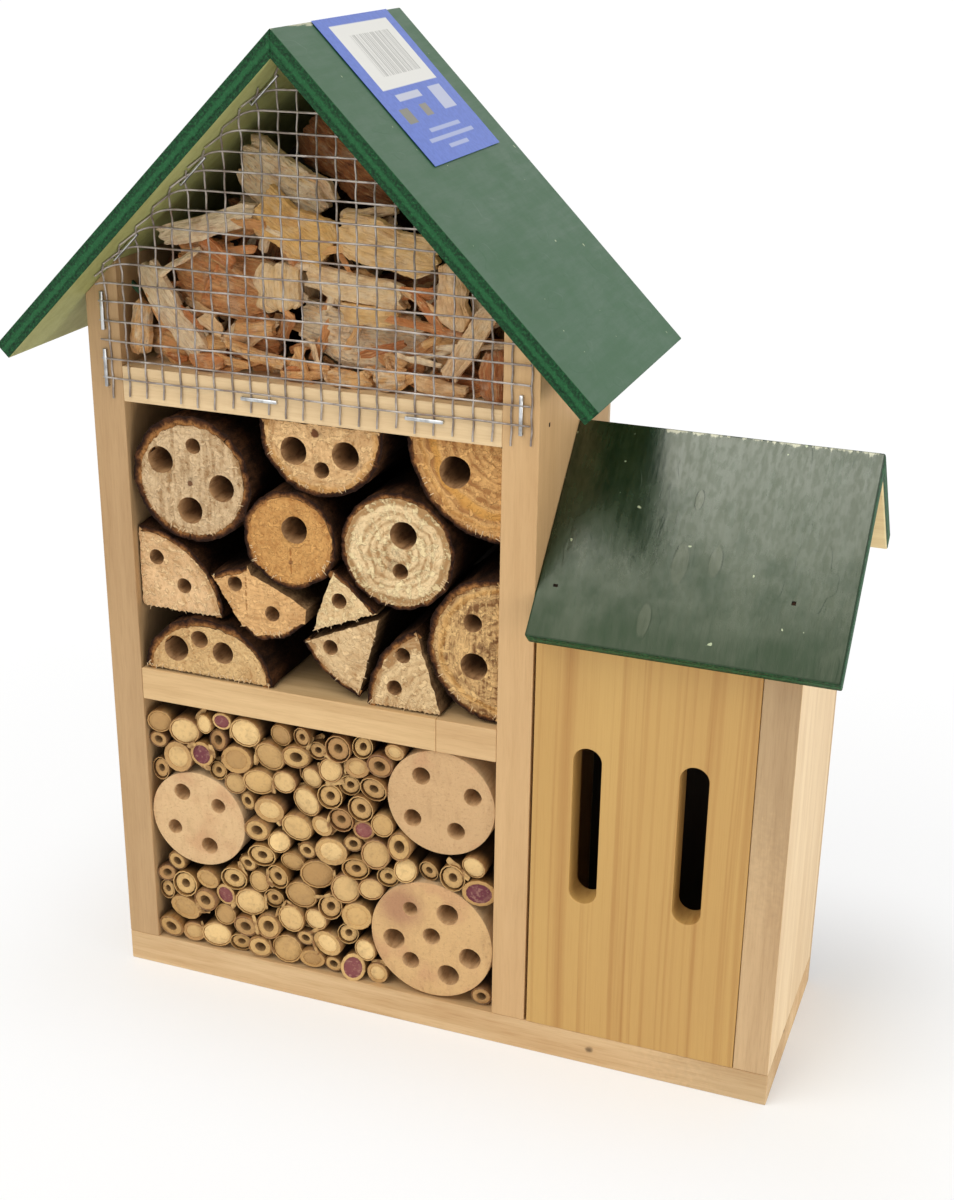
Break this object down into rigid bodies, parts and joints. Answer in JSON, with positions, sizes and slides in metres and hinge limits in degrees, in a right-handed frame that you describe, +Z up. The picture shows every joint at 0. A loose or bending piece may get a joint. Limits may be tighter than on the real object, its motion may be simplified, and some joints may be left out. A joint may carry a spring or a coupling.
{
  "type": "insect hotel",
  "caption": "Wooden insect hotel with a pitched green roof, bays of drilled logs, cut canes and bark behind wire mesh, and a slotted butterfly bay under its own small roof.",
  "frame": {"origin": "centre of the base board's underside, where the house stands", "axes": "+X to the right as seen from the front, +Y to the back, +Z up"},
  "size_m": [0.2797, 0.0965, 0.3422],
  "materials": {
    "poplar": "planed, bare",
    "back_ply": "bare plywood",
    "pine": "sanded, bare",
    "roof_paint": "plywood under satin green paint",
    "label_paper": "coated paper",
    "galvanised_wire": "galvanised",
    "fastener_steel": "bright",
    "cane": "cut cane",
    "pith": "cut cane filled with pith",
    "purple_pith": "cut stem with purple pith",
    "log_wood": "sawn across the grain, bark on the round side",
    "bark": "rough bark",
    "split_wood": "split, rough"
  },
  "bodies": {
    "root": {"back_brads": "fastener_steel", "back_chips": "bark", "bark_plates": "bark", "base_board": "poplar", "carcass_brads": "fastener_steel", "centre_board": "poplar", "disc_left": "log_wood", "disc_lower": "log_wood", "disc_upper": "log_wood", "front_panel": "pine", "front_staples": "fastener_steel", "hollow_canes": "cane", "left_board": "poplar", "log_half_right": "log_wood", "log_half_shelf": "log_wood", "log_half_top": "log_wood", "log_quarter_left": "log_wood", "log_quarter_low": "log_wood", "log_quarter_shelf": "log_wood", "log_quarter_top": "log_wood", "log_round_left": "log_wood", "log_round_middle": "log_wood", "log_round_small": "log_wood", "log_slab": "log_wood", "log_wedge": "log_wood", "lower_shelf": "poplar", "lower_shelf_end": "poplar", "main_back_panel": "back_ply", "main_roof_left": "roof_paint", "main_roof_right": "roof_paint", "mesh_strips": "galvanised_wire", "pale_slabs": "split_wood", "pith_canes": "pith", "purple_canes": "purple_pith", "right_board": "poplar", "roof_brads": "fastener_steel", "roof_label": "label_paper", "roof_staples": "fastener_steel", "side_back_panel": "back_ply", "small_chips": "bark", "small_roof_back": "roof_paint", "small_roof_front": "roof_paint", "split_chips": "split_wood", "upper_shelf": "poplar", "wire_mesh": "galvanised_wire"}
  },
  "joints": []
}
